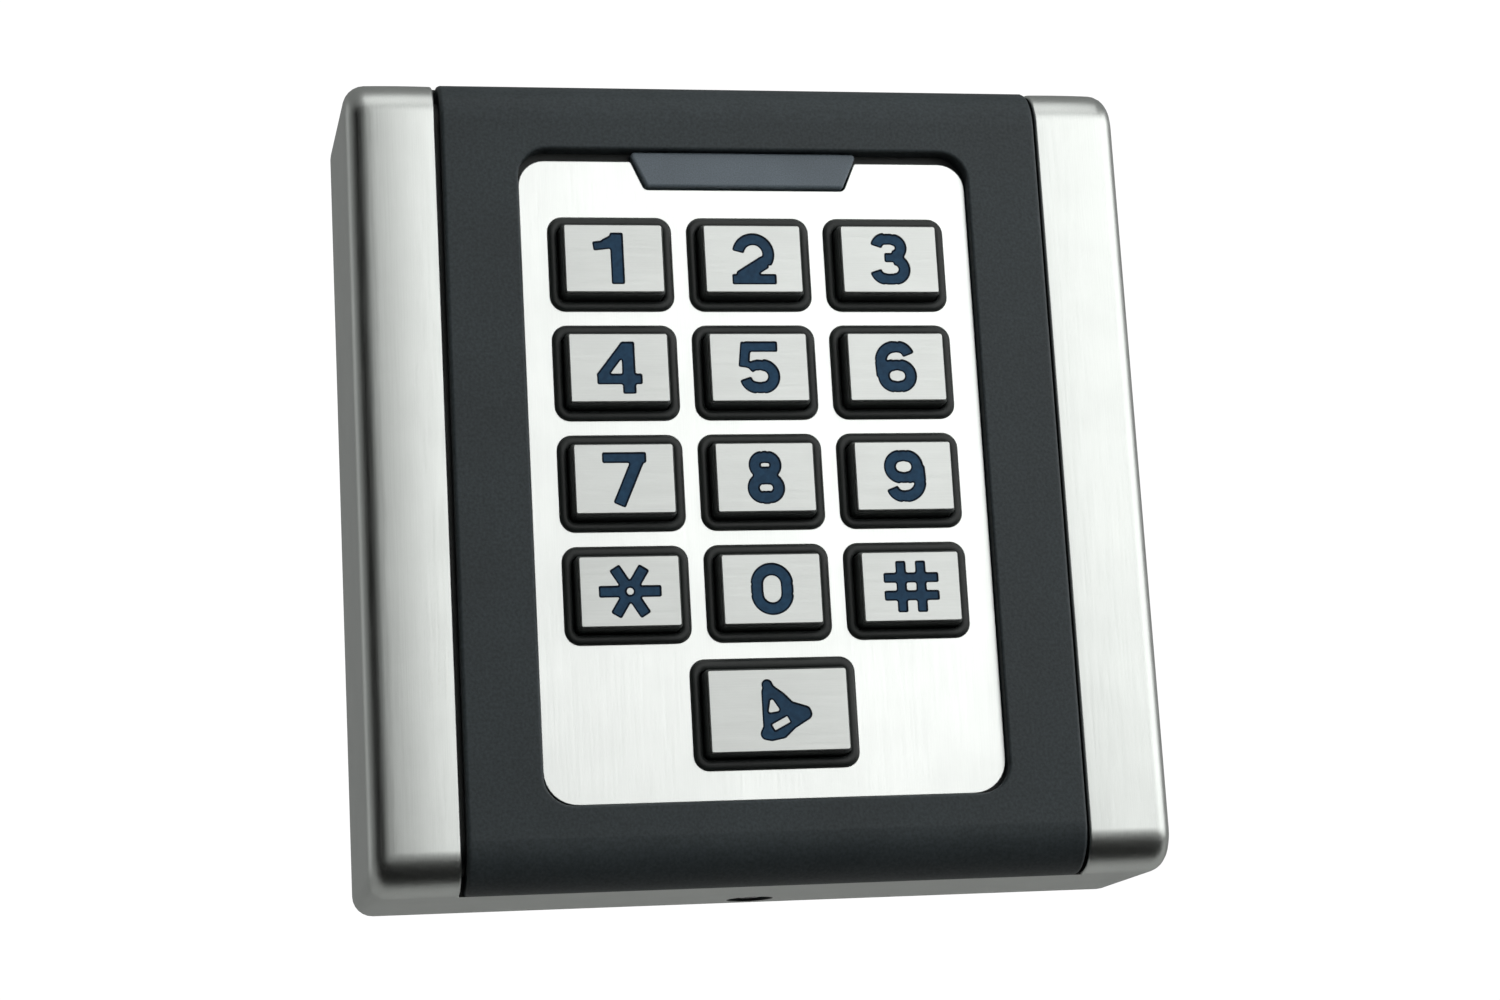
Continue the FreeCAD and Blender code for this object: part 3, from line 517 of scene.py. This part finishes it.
def legend_distance(name):
    """Signed distance to a legend, in millimetres, with its corners softened."""
    strokes, windows = legend_strokes(name)

    def distance(points):
        points = points / LEGEND_SCALE
        value = strokes[0](points, SOFTENING)
        for stroke in strokes[1:]:
            other = stroke(points, SOFTENING)
            blend = np.maximum(SOFTENING - np.abs(value - other), 0) / SOFTENING
            value = np.minimum(value, other) - blend**2 * SOFTENING / 4
        for window in windows:
            value = np.maximum(value, -window(points, 0.1))
        return value * LEGEND_SCALE

    return distance


def crossing_loops(field, xs, zs):
    """Closed loops where a field sampled on a grid crosses zero, with the inside on their left."""
    inside = field < 0
    follow = {}
    edges = {}

    def crossing(a, b):
        key = (a, b) if a < b else (b, a)
        if key not in edges:
            (i, j), (k, m) = key
            t = field[i, j] / (field[i, j] - field[k, m])
            edges[key] = (xs[i] + t * (xs[k] - xs[i]), zs[j] + t * (zs[m] - zs[j]))
        return key

    for i in range(len(xs) - 1):
        for j in range(len(zs) - 1):
            ring = ((i, j), (i + 1, j), (i + 1, j + 1), (i, j + 1))
            leaving, entering = [], []
            for a, b in zip(ring, ring[1:] + ring[:1]):
                if inside[a] and not inside[b]:
                    leaving.append(crossing(a, b))
                elif inside[b] and not inside[a]:
                    entering.append(crossing(a, b))
            for start, end in zip(leaving, entering if len(leaving) == 1 else entering[::-1]):
                follow[start] = end
    loops = []
    while follow:
        start = next(iter(follow))
        loop = []
        here = start
        while here in follow:
            loop.append(edges[here])
            here = follow.pop(here)
        loops.append(np.array(loop))
    return loops


def even_loop(loop, distance, spacing=0.13):
    """Evenly spaced points on a closed loop, moved on to the zero line, and their outward normals."""
    closed = np.vstack([loop, loop[:1]])
    steps = np.hypot(*np.diff(closed, axis=0).T)
    along = np.concatenate([[0], np.cumsum(steps)])
    count = max(12, int(along[-1] / spacing))
    places = np.linspace(0, along[-1], count, endpoint=False)
    points = np.stack([np.interp(places, along, closed[:, axis]) for axis in (0, 1)], axis=1)
    small = 0.02
    for _ in range(3):
        slope_x = distance(points + [small, 0]) - distance(points - [small, 0])
        slope_z = distance(points + [0, small]) - distance(points - [0, small])
        normal = np.stack([slope_x, slope_z], axis=1)
        normal /= np.maximum(np.linalg.norm(normal, axis=1, keepdims=True), 1e-9)
        points = points - normal * distance(points)[:, None]
    normal = sum(np.roll(normal, shift, axis=0) for shift in (-1, 0, 1))
    normal /= np.linalg.norm(normal, axis=1, keepdims=True)
    return points, normal


def traced(distance):
    """The loops on the zero line of a distance, with their normals. Outer ones are counter-clockwise."""
    reach, smallest_area = 5.2, 0.1
    xs = zs = np.linspace(-reach, reach, 105)
    grid = np.stack(np.meshgrid(xs, zs, indexing="ij"), axis=-1)
    found = []
    for loop in crossing_loops(distance(grid), xs, zs):
        points, normal = even_loop(loop, distance)
        ahead = np.roll(points, -1, axis=0)
        area = np.sum(points[:, 0] * ahead[:, 1] - ahead[:, 0] * points[:, 1]) / 2
        if abs(area) > smallest_area:
            found.append((points, normal, math.copysign(1, area)))
    return found


def legend_outlines(name, cap, rim):
    """The outlines of a legend and of its inner face, which is set in by rim.

    Each is a list of outer outlines and a list of island outlines, which give a loop for a growth.
    """
    edge_distance = legend_distance(name)
    edges = traced(edge_distance)

    def face_distance(points):
        nearest = np.min([loop_distance(points, loop) for loop, _, _ in edges], axis=0)
        return np.where(edge_distance(points) < 0, -nearest, nearest) + rim / MM

    def grown_loop(place, outward):
        return lambda grow: place + outward * grow

    def placed(loops):
        outer, islands = [], []
        for points, normal, side in loops:
            grown = grown_loop(points * MM + [cap.x, cap.z], normal * side)
            (outer if side > 0 else islands).append(grown)
        return outer, islands

    return placed(edges), placed(traced(face_distance))


# ---------------------------------------------------------------- housing and front frame


def side_section(low, high, back, front, radius, inset=0.0):
    """A side profile as (depth, z) points: rounded at its two front corners, square at the back."""
    radius -= inset
    low, high, front = low + inset, high - inset, front - inset
    points = [(back, low)]
    for centre_z, start in ((low + radius, -90), (high - radius, 0)):
        for step in range(ARC_STEPS + 1):
            angle = math.radians(start + 90 * step / ARC_STEPS)
            points.append((front - radius + radius * math.cos(angle), centre_z + radius * math.sin(angle)))
    return points + [(back, high)]


def station(shape, x, section):
    """A row of points along a side profile, at one distance across."""
    return [shape.mesh.verts.new((x, -depth, z)) for depth, z in section]


def skin(shape, first, second, skipped=()):
    """Quads between two matching rows of points, but for the skipped ones."""
    for i in range(len(first) - 1):
        if i not in skipped:
            shape.face((first[i], first[i + 1], second[i + 1], second[i]))


def side_insets(radius, steps=6):
    """For each station of a rounded side edge, its distance in from the side face and its inset."""
    turns = [math.pi / 2 * step / steps for step in range(steps + 1)]
    return [(radius * (1 - math.sin(turn)), radius * (1 - math.cos(turn))) for turn in reversed(turns)]


def key_window(plate):
    """The opening in the housing behind the key plate."""
    return rectangle(plate, 3.0 * MM, -1.8 * MM)


def make_housing(materials):
    """The die-cast housing: two wings either side of a channel, and a hollow for the works."""
    box, band, plate = extent("housing"), extent("centre_frame"), extent("key_plate")
    cover, gasket = extent("rear_cover"), extent("cover_gasket")
    end_radius, side_radius, lip = 6.0 * MM, 3.0 * MM, 0.35 * MM
    front_steps, lip_steps = 9, 4
    crown_height = 1.2 * MM
    wing_width = box.right - band.right - FRAME_JOINT
    crest = 0.65 * wing_width
    step_up, channel_radius = 2.7 * MM, 4.3 * MM
    split = band.back - 0.1 * MM
    floor_depth = plate.back - 0.1 * MM
    shape = Shape()

    def wing_section(across, inset, wall_inset):
        """The wing's side profile at a distance in from the side face.

        Its front is slightly crowned, and the walls behind the split have an inset of their own.
        """
        crown = crown_height * ((across - crest) / wing_width) ** 2
        rows = side_section(box.low, box.high, split, box.front - crown, end_radius, inset)
        low, high = box.low + wall_inset, box.high - wall_inset
        return [(box.back, low), (split, low)] + rows + [(split, high), (box.back, high)]

    inner = side_section(box.low + step_up, box.high - step_up, split, floor_depth, channel_radius)
    channel = [(box.back, box.low), (split, box.low)] + inner + [(split, box.high), (box.back, box.high)]
    wings = []
    for side in (-1, 1):
        edge = side * (box.right - wing_width)
        rows = [
            station(shape, side * (box.right - across), wing_section(across, inset, inset))
            for across, inset in side_insets(side_radius)
        ]
        for step in range(1, front_steps):
            across = side_radius + (wing_width - lip - side_radius) * step / front_steps
            rows.append(station(shape, side * (box.right - across), wing_section(across, 0.0, 0.0)))
        for step in range(lip_steps + 1):
            angle = math.pi / 2 * step / lip_steps
            across, inset = wing_width - lip * (1 - math.sin(angle)), lip * (1 - math.cos(angle))
            rows.append(station(shape, side * (box.right - across), wing_section(across, inset, 0.0)))
        rows.append(station(shape, edge, channel))
        for first, second in zip(rows[:-1], rows[1:-1]):
            skin(shape, first, second)
        shape.face(rows[0])
        # The channel's side walls take the black silicone: painted shade for the deep gap between the frame
        # and the wings.
        shape.material_index = 1
        skin(shape, rows[-2], rows[-1])
        shape.material_index = 0
        wings.append(rows)
    left, right = wings[0][-1], wings[1][-1]
    bottom, front, top = 0, 3 + ARC_STEPS, len(channel) - 2
    # The channel's floor and step walls take the black silicone too: painted shade.
    shape.material_index = 1
    skin(shape, left, right, skipped=(bottom, front, top))
    shape.material_index = 0
    shape.face((left[top], left[top + 1], right[top + 1], right[top]))

    screw = extent("security_screw")
    screw_depth = (screw.back + screw.front) / 2

    def screw_circle(radius, rise):
        points = circle(0, screw_depth, radius)
        return [shape.mesh.verts.new((p[0], -p[1], box.low + rise)) for p in points]

    # The recess for the screw's head and the hole for its shaft, as (radius, rise) in millimetres.
    recess = [(3.5, 0.0), (3.34, 0.05), (3.3, 0.2), (3.3, 1.3), (1.7, 1.3), (1.7, 2.1)]
    rings = [screw_circle(radius * MM, rise * MM) for radius, rise in recess]
    # The screw's recess and shaft hole take the black silicone: painted shade in the hollow, not the zinc's
    # own colour.
    shape.material_index = 1
    for first, second in zip(rings, rings[1:]):
        shape.wall(first, second)
    shape.fill([rings[-1]])
    shape.material_index = 0
    shape.fill([[left[0], left[1], right[1], right[0]], rings[0]])

    rim = [row[0] for row in wings[0]] + [row[0] for row in reversed(wings[1])]
    rim += [row[-1] for row in wings[1]] + [row[-1] for row in reversed(wings[0])]
    mouth = outline_of(rectangle(cover, 1.5 * MM, 0.3 * MM))
    hollow = outline_of(rectangle(cover, 1.5 * MM, -1.9 * MM))
    key_hole = outline_of(key_window(plate))
    inner_face = floor_depth - 2.6 * MM
    mouth_back, mouth_front = shape.swept(mouth, [(0, box.back), (0, gasket.front)])
    hollow_back, hollow_front = shape.swept(hollow, [(0, gasket.front), (0, inner_face)])
    window_back, window_front = shape.swept(key_hole, [(0, inner_face), (0, floor_depth)])
    shape.fill([rim, mouth_back])
    shape.fill([mouth_front, hollow_back])
    shape.fill([hollow_front, window_back])
    # The channel floor round the key window takes the black silicone: painted shade.
    shape.material_index = 1
    shape.fill([[left[front], right[front], right[front + 1], left[front + 1]], window_front])
    slots = [materials["nickel_zinc"], materials["black_silicone"]]
    piece = shape.finish("housing_skin", slots, large_faces=True)
    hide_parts("housing")


def make_centre_frame(materials):
    """The black frame: a band that wraps over the housing's top and bottom, with the plate's opening."""
    box, plate, window = extent("centre_frame"), extent("key_plate"), extent("status_window")
    end_radius, thickness, side_radius = 7.0 * MM, 2.6 * MM, 0.6 * MM
    inner_front = plate.back
    shape = Shape()

    rows = []
    for side in (-1, 1):
        group = [
            station(
                shape,
                side * (box.right - across),
                side_section(box.low, box.high, box.back, box.front, end_radius, inset),
            )
            for across, inset in side_insets(side_radius)
        ]
        rows += group if side < 0 else group[::-1]
    middle = len(rows) // 2 - 1
    front = 1 + ARC_STEPS
    for index, (first, second) in enumerate(zip(rows, rows[1:])):
        skin(shape, first, second, skipped=(front,) if index == middle else ())
    inside = side_section(
        box.low + thickness, box.high - thickness, box.back, inner_front, end_radius - thickness
    )
    inner = [station(shape, side * box.right, inside) for side in (-1, 1)]
    skin(shape, inner[0], inner[1], skipped=(front,))
    skin(shape, rows[0], inner[0])
    skin(shape, rows[-1], inner[1])
    for end in (0, -1):
        shape.face([row[end] for row in rows] + [inner[1][end], inner[0][end]])

    joint = 0.15 * MM
    opening = SimpleNamespace(
        left=plate.left - joint,
        right=plate.right + joint,
        low=plate.low - joint,
        high=window.high + joint,
    )
    edge = [(0.0, inner_front)] + rounded_edge(box.front, 0.4 * MM, 1)
    back, face = shape.swept(outline_of(rectangle(opening, 4.35 * MM)), edge)
    left, right = rows[middle], rows[middle + 1]
    shape.fill([[left[front], right[front], right[front + 1], left[front + 1]], face])
    left, right = inner
    shape.fill([[left[front], right[front], right[front + 1], left[front + 1]], back])
    piece = shape.finish("centre_frame_skin", [materials["black_plastic"]], large_faces=True)
    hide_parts("centre_frame")


def window_outline(window, gap=0.0):
    """The status window's trapezoid, wider at the top, as bottom and top half widths."""
    return window.right - 2.5 * MM + gap, window.right + gap


def make_key_plate(materials):
    """The satin plate with an opening for each key and a notch round the status window."""
    box, window = extent("key_plate"), extent("status_window")
    gap, top_corner, low_corner = 0.25 * MM, 4.0 * MM, 5.0 * MM
    narrow, wide = window_outline(window, gap)
    slope = (wide - narrow) / window.height
    notch_top = narrow + slope * (box.high - window.low)
    corners = [
        (box.left, box.low, low_corner),
        (box.right, box.low, low_corner),
        (box.right, box.high, top_corner),
        (notch_top, box.high, 0.5 * MM),
        (narrow, window.low - gap, 0.9 * MM),
        (-narrow, window.low - gap, 0.9 * MM),
        (-notch_top, box.high, 0.5 * MM),
        (box.left, box.high, top_corner),
    ]
    holes = [outline_of(rectangle(key_opening(name), 2.2 * MM)) for name in KEYS]
    shape = Shape()
    slab(shape, outline_of(corners), holes, box.back, box.front, 0.12 * MM)
    piece = shape.finish("key_plate_skin", [materials["satin_steel"]])
    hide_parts("key_plate")


def make_status_window(materials):
    """The smoked lens in the plate's notch, with rounded edges."""
    box, plate = extent("status_window"), extent("key_plate")
    narrow, wide = window_outline(box)
    radius = 0.6 * MM
    corners = [(-narrow, box.low, radius), (narrow, box.low, radius), (wide, box.high, radius)]
    corners.append((-wide, box.high, radius))
    shape = Shape()
    slab(shape, outline_of(corners), [], plate.back, box.front, 0.45 * MM)
    piece = shape.finish("status_window_lens", [materials["smoked_plastic"]])
    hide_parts("status_window")


# ---------------------------------------------------------------- keys


def key_opening(name):
    """The opening in the plate round a key: larger than its post by the collar and a joint."""
    post = extent("key_%s_post" % name)
    across, up = 1.60 * MM, 1.70 * MM
    if name == "bell":
        # The larger key has a slightly wider collar.
        across, up = 1.65 * MM, 1.78 * MM
    return SimpleNamespace(
        left=post.left - across, right=post.right + across, low=post.low - up, high=post.high + up
    )


def make_keypad_mat(materials):
    """The silicone mat: a sheet behind the plate and a crowned collar round each key."""
    box, plate = extent("keypad_mat"), extent("key_plate")
    sheet_front = plate.back - 0.1 * MM
    sheet_back = sheet_front - 1.5 * MM
    crown_base = plate.front - 0.1 * MM
    crown_height = box.front - crown_base
    crown_steps = 12
    plate_joint, post_joint = 0.05 * MM, 0.22 * MM
    shape = Shape()
    holes = [outline_of(rectangle(key_opening(name), 2.1 * MM, -plate_joint)) for name in KEYS]
    slab(shape, outline_of(rectangle(box, 2.0 * MM)), holes, sheet_back, sheet_front, 0.1 * MM)
    for name in KEYS:
        inner = outline(rectangle(extent("key_%s_post" % name), 0.9 * MM, post_joint))
        outer = outline(rectangle(key_opening(name), 2.15 * MM, -plate_joint))
        loops = [shape.loop(inner, sheet_back)]
        for step in range(crown_steps + 1):
            angle = math.pi * step / crown_steps
            share = (1 - math.cos(angle)) / 2
            rise = crown_base + crown_height * math.sin(angle) ** 0.7
            loops.append(shape.loop([a.lerp(b, share) for a, b in zip(inner, outer)], rise))
        loops.append(shape.loop(outer, sheet_back))
        for first, second in zip(loops, loops[1:] + loops[:1]):
            shape.wall(first, second)
    piece = shape.finish("keypad_mat_skin", [materials["black_silicone"]])
    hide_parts("keypad_mat")


def make_key(name, materials):
    """One key: the rubber post, the brushed cap cut through with the legend, and the resin in it."""
    body = "key_" + name
    cap, post = extent(body + "_cap"), extent(body + "_post")
    shape = Shape()
    slab(shape, outline_of(rectangle(post, 0.7 * MM)), [], post.back, post.front, 0.25 * MM)
    # The post takes the lighter silicone copy: painted light on its shaded sides.
    piece = shape.finish(body + "_rubber", [materials["key_rubber"]], body)
    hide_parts(body + "_post")

    (outer, islands), (face_outer, face_islands) = legend_outlines(name, cap, 0.27 * MM)
    shape = Shape()
    cap_back, cut_edge = cap.back, 0.03 * MM
    slab(shape, outline_of(rectangle(cap, 0.3 * MM)), outer, cap_back, cap.front, 0.12 * MM, cut_edge)
    for island in islands:
        slab(shape, island, [], cap_back, cap.front, cut_edge)
    piece = shape.finish(body + "_metal_cap", [materials["cap_steel"]], body)
    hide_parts(body + "_cap")

    sunk, face_rise = cap.front - 0.16 * MM, 0.04 * MM
    shape = Shape()
    edges = [shape.swept(loop, [(0.0, cap_back), (0.0, sunk)]) for loop in outer + islands]
    face_walls = [(0.0, sunk), (0.0, sunk + face_rise)]
    steps = [shape.swept(loop, face_walls) for loop in face_outer + face_islands]
    shape.fill([back for back, _ in edges])
    shape.fill([front for _, front in steps])
    # The band between each legend's cut edge and its face takes the darker resin: painted shade.
    shape.material_index = 1
    shape.fill([front for _, front in edges] + [back for back, _ in steps])
    piece = shape.finish(body + "_resin", [materials["legend_resin"], materials["legend_edge_painted_shade"]], body)
    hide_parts(body + "_legend")


# ---------------------------------------------------------------- screw and carried-over parts


def make_security_screw(materials):
    """The screw under the reader: a button head with a hexagon socket, and its shaft."""
    box = extent("security_screw")
    depth = (box.back + box.front) / 2
    shape = Shape()

    def ring(points, z):
        return [shape.mesh.verts.new((p[0], -depth + p[1], z)) for p in points]

    head_radius = box.width / 2
    head_rise = 1.0 * MM
    # The head's round top, as parts of its radius and of its height.
    profile = [(0.55, 0.0), (0.8, 0.1), (0.95, 0.32), (1.0, 0.6), (1.0, 1.0)]
    rings = [ring(circle(0, 0, head_radius * part), box.low + head_rise * rise) for part, rise in profile]
    shaft_radius, chamfer = 1.5 * MM, 0.3 * MM
    rings.append(ring(circle(0, 0, shaft_radius), box.low + head_rise))
    rings.append(ring(circle(0, 0, shaft_radius), box.high - chamfer))
    rings.append(ring(circle(0, 0, shaft_radius - chamfer), box.high))
    for first, second in zip(rings, rings[1:]):
        shape.wall(first, second)
    shape.fill([rings[-1]])
    socket = circle(0, 0, 1.15 * MM, 6)
    mouth = ring(socket, box.low)
    floor = ring(socket, box.low + 0.8 * MM)
    shape.wall(mouth, floor)
    shape.fill([floor])
    shape.fill([rings[0], mouth])
    piece = shape.finish("security_screw_head", [materials["screw_steel"]])
    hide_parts("security_screw")


def finish_cad_nodes(materials):
    """Gives each CAD node that still shows its material, and softens the edges that can be seen."""
    softened = {"wall_plate": 0.2, "rear_cover": 0.3, "cable_gland": 0.4, "cover_screws": 0.2}
    for row in frame["record"]["subparts"]:
        node = frame["nodes"][row["node"]]
        node.data.materials.clear()
        node.data.materials.append(materials[row["material_slot"]])
        if row["node"] in softened:
            weld = node.modifiers.new("joined_edges", "WELD")
            weld.merge_threshold = 0.001 * MM
            bevel = node.modifiers.new("soft_edges", "BEVEL")
            bevel.width = softened[row["node"]] * MM
            bevel.segments = 2
            bevel.limit_method = "ANGLE"
            bevel.angle_limit = math.radians(50)
            bevel.harden_normals = True


# ---------------------------------------------------------------- studio


def plain_stage_material(name, colour, roughness):
    """A plain surface with very faint unevenness."""
    finish = Finish(name, colour, roughness)
    finish.tint(finish.noise(0.3), 0.985, 1.015)
    return finish.material


def card(name, centre, facing, width, height, material):
    """A flat card of the studio, not part of the object."""
    data = bpy.data.meshes.new(name)
    half_w, half_h = width / 2, height / 2
    corners = [(-half_w, -half_h, 0), (half_w, -half_h, 0), (half_w, half_h, 0), (-half_w, half_h, 0)]
    data.from_pydata(corners, [], [(0, 1, 2, 3)])
    data.materials.append(material)
    piece = bpy.data.objects.new(name, data)
    piece.location = centre
    piece.rotation_euler = (Vector(facing) - Vector(centre)).to_track_quat("Z", "Y").to_euler()
    bpy.context.scene.collection.objects.link(piece)
    piece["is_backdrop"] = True
    return piece


def reflection_card(name, place, target, width, height, strength):
    """A card hidden from the camera that darkens or brightens reflections and bounced light."""
    piece = card(name, place, target, width, height, glowing(name, strength))
    piece.visible_camera = False
    piece.visible_shadow = False


def scenery_card(name, place, target, width, height, strength):
    """A pale card seen straight on by the camera, which lights nothing."""
    piece = card(name, place, target, width, height, glowing(name, strength))
    piece.visible_glossy = False
    piece.visible_diffuse = False
    piece.visible_shadow = False


def lamp(name, place, target, width, height, radiance):
    """A soft area light, given by how bright its face is."""
    data = bpy.data.lights.new(name, "AREA")
    data.shape = "RECTANGLE"
    data.size, data.size_y = width, height
    data.energy = radiance * math.pi * width * height
    light = bpy.data.objects.new(name, data)
    light.location = place
    light.rotation_euler = (Vector(target) - Vector(place)).to_track_quat("-Z", "Y").to_euler()
    light.visible_camera = False
    bpy.context.scene.collection.objects.link(light)


def glowing(name, strength):
    """An even white glow, or black where the strength is zero."""
    finish = Finish(name, (0.0, 0.0, 0.0), 1.0, Emission_Color=(1.0, 1.0, 1.0, 1.0), Specular_IOR_Level=0.0)
    finish.shader.inputs["Emission Strength"].default_value = strength
    return finish.material


def make_studio(view_from):
    """A pale floor, walls and a white backdrop, and soft lights in front, above and to the right."""
    low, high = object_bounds()
    centre = (low + high) / 2
    pale = plain_stage_material("pale_floor", (0.85, 0.85, 0.84), 0.6)
    room = 6.0
    floor_z = low.z - 0.30
    card("floor", (0, 0, floor_z), (0, 0, 1), room, room, pale)
    scenery_card("bright_floor", (0, 0, floor_z + MM), (0, 0, 1), room, room, 0.72)
    for side, place in enumerate(((3, 0, 2), (0, 3, 2), (-3, 0, 2), (0, -3, 2))):
        scenery_card("wall_%d" % side, place, (0, 0, 2), room, room, 0.85)
    behind = centre + (centre - view_from).normalized() * 1.2
    scenery_card("backdrop", behind, view_from, 2.6, 2.0, 1.05)

    world = bpy.data.worlds.new("surround")
    world.use_nodes = True
    background = world.node_tree.nodes["Background"]
    background.inputs["Color"].default_value = (0.98, 1.0, 0.985, 1.0)
    background.inputs["Strength"].default_value = 0.21
    bpy.context.scene.world = world

    lamp("front_light", (0.38, -0.93, 0.34), centre, 0.85, 0.85, 1.40)
    lamp("right_light", (0.95, -0.35, 0.25), centre, 0.85, 0.85, 1.5)
    lamp("top_light", (0.15, -0.50, 1.05), centre, 1.0, 0.65, 0.95)
    reflection_card("left_flag", (-0.62, -0.42, 0.10), centre, 0.70, 0.95, 0.0)
    reflection_card("low_flag", (0.10, -0.28, -0.25), (0.10, -0.20, 0.25), 1.20, 0.50, 0.0)
    reflection_card("left_glow", (-0.75, 0.42, 0.15), centre, 0.30, 0.80, 0.55)


def make_camera():
    """The photograph's view: from below and to the left, looking up at the front, a little tilted."""
    wall_z = (cad_low.z + cad_high.z) / 2
    place = Vector((-98.2 * MM, -481.8 * MM, wall_z - 104.2 * MM))
    aim = Vector((-2.0 * MM, -31.0 * MM, wall_z - 4.6 * MM))
    roll = math.radians(-3.26)
    data = bpy.data.cameras.new("camera")
    data.sensor_width = 36.0
    data.lens = 77.5
    data.clip_start, data.clip_end = 0.01, 20.0
    camera = bpy.data.objects.new("camera", data)
    turn = (aim - place).to_track_quat("-Z", "Y").to_matrix()
    camera.matrix_world = Matrix.Translation(place) @ (turn @ Matrix.Rotation(roll, 3, "Z")).to_4x4()
    bpy.context.scene.collection.objects.link(camera)
    bpy.context.scene.camera = camera
    return place


# ---------------------------------------------------------------- build

materials = make_materials()
finish_cad_nodes(materials)
make_housing(materials)
make_centre_frame(materials)
make_key_plate(materials)
make_status_window(materials)
make_keypad_mat(materials)
for key_name in KEYS:
    make_key(key_name, materials)
make_security_screw(materials)
make_studio(make_camera())
bpy.context.scene.view_settings.view_transform = "Standard"
